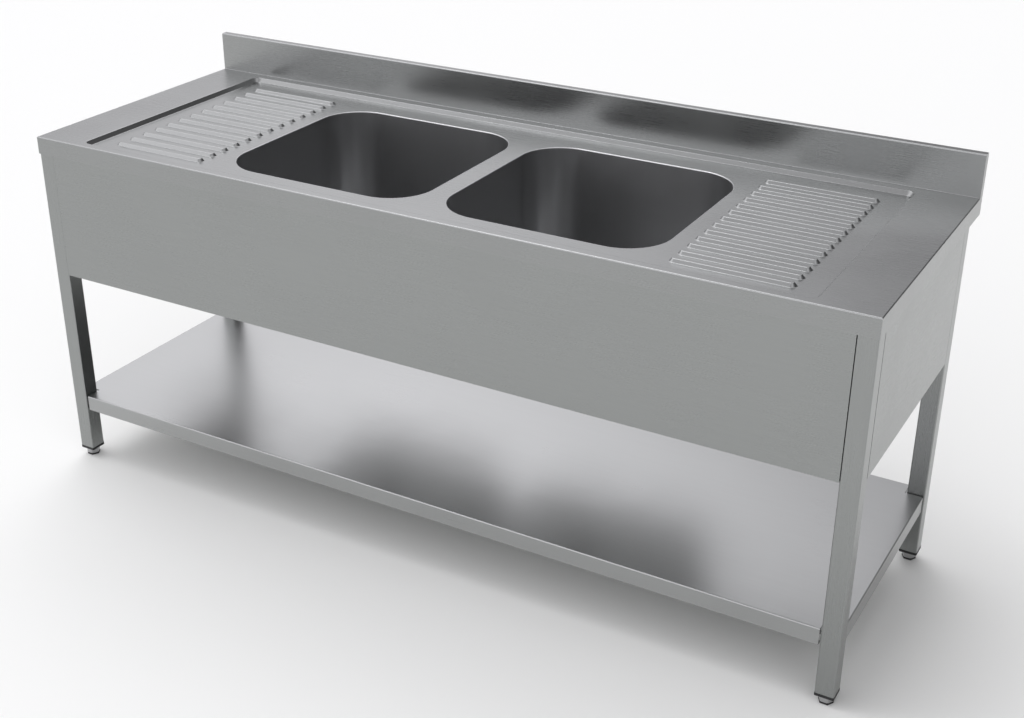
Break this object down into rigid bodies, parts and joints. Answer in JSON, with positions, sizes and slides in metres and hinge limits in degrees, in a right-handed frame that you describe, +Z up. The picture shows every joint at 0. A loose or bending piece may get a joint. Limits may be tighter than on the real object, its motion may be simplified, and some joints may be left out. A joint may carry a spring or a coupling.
{
  "type": "kitchen sink unit",
  "caption": "Stainless catering sink table with deep bowls between ribbed drainers, a splashback, an apron, an undershelf and levelling feet.",
  "frame": {"origin": "on the floor under the middle of the worktop, at the centre of the bounding box's underside", "axes": "+X along the worktop to the right drainer, +Y to the wall behind the splashback, +Z up"},
  "size_m": [2, 0.7, 0.945],
  "materials": {
    "brushed_steel": "brushed",
    "polished_steel": "polished",
    "plated_steel": "satin",
    "black_plastic": "matte",
    "black_rubber": "matte"
  },
  "bodies": {
    "table_frame": {"worktop": "brushed_steel", "bowl_left": "brushed_steel", "bowl_right": "brushed_steel", "waste_fitting_left": "polished_steel", "waste_fitting_right": "polished_steel", "waste_gasket_left": "black_rubber", "waste_gasket_right": "black_rubber", "waste_nut_left": "black_plastic", "waste_nut_right": "black_plastic", "front_apron": "brushed_steel", "side_panel_left": "brushed_steel", "side_panel_right": "brushed_steel", "front_rail": "brushed_steel", "rear_rail": "brushed_steel", "side_rail_left": "brushed_steel", "side_rail_right": "brushed_steel", "drainer_stiffener_left": "brushed_steel", "drainer_stiffener_right": "brushed_steel", "bowl_stiffener": "brushed_steel", "leg_front_left": "brushed_steel", "leg_front_right": "brushed_steel", "leg_rear_left": "brushed_steel", "leg_rear_right": "brushed_steel", "leg_insert_front_left": "black_plastic", "leg_insert_front_right": "black_plastic", "leg_insert_rear_left": "black_plastic", "leg_insert_rear_right": "black_plastic", "undershelf": "brushed_steel", "shelf_stiffener": "brushed_steel", "shelf_bracket_front_left": "brushed_steel", "shelf_bracket_front_right": "brushed_steel", "shelf_bracket_rear_left": "brushed_steel", "shelf_bracket_rear_right": "brushed_steel", "shelf_bolts": "plated_steel"},
    "foot_pad_front_left": {"foot_pad_front_left": "black_rubber"},
    "foot_screw_front_left": {"foot_screw_front_left": "plated_steel"},
    "foot_pad_front_right": {"foot_pad_front_right": "black_rubber"},
    "foot_screw_front_right": {"foot_screw_front_right": "plated_steel"},
    "foot_pad_rear_left": {"foot_pad_rear_left": "black_rubber"},
    "foot_screw_rear_left": {"foot_screw_rear_left": "plated_steel"},
    "foot_pad_rear_right": {"foot_pad_rear_right": "black_rubber"},
    "foot_screw_rear_right": {"foot_screw_rear_right": "plated_steel"}
  },
  "joints": [
    {"name": "foot_height_front_left", "type": "slide", "parent": "table_frame", "child": "foot_pad_front_left", "axis": [0, 0, -1], "range_m": [0, 0.024]},
    {"name": "foot_turn_front_left", "type": "hinge", "parent": "foot_pad_front_left", "child": "foot_screw_front_left", "pos_m": [-0.9785, -0.3285, 0.012], "axis": [0, 0, -1], "range_deg": [0, 5760]},
    {"name": "foot_height_front_right", "type": "slide", "parent": "table_frame", "child": "foot_pad_front_right", "axis": [0, 0, -1], "range_m": [0, 0.024]},
    {"name": "foot_turn_front_right", "type": "hinge", "parent": "foot_pad_front_right", "child": "foot_screw_front_right", "pos_m": [0.9785, -0.3285, 0.012], "axis": [0, 0, -1], "range_deg": [0, 5760]},
    {"name": "foot_height_rear_left", "type": "slide", "parent": "table_frame", "child": "foot_pad_rear_left", "axis": [0, 0, -1], "range_m": [0, 0.024]},
    {"name": "foot_turn_rear_left", "type": "hinge", "parent": "foot_pad_rear_left", "child": "foot_screw_rear_left", "pos_m": [-0.9785, 0.254, 0.012], "axis": [0, 0, -1], "range_deg": [0, 5760]},
    {"name": "foot_height_rear_right", "type": "slide", "parent": "table_frame", "child": "foot_pad_rear_right", "axis": [0, 0, -1], "range_m": [0, 0.024]},
    {"name": "foot_turn_rear_right", "type": "hinge", "parent": "foot_pad_rear_right", "child": "foot_screw_rear_right", "pos_m": [0.9785, 0.254, 0.012], "axis": [0, 0, -1], "range_deg": [0, 5760]}
  ],
  "couplings": [
    {"joint": "foot_height_front_left", "follows": "foot_turn_front_left", "m_per_rad": 0.00023873},
    {"joint": "foot_height_front_right", "follows": "foot_turn_front_right", "m_per_rad": 0.00023873},
    {"joint": "foot_height_rear_left", "follows": "foot_turn_rear_left", "m_per_rad": 0.00023873},
    {"joint": "foot_height_rear_right", "follows": "foot_turn_rear_right", "m_per_rad": 0.00023873}
  ]
}
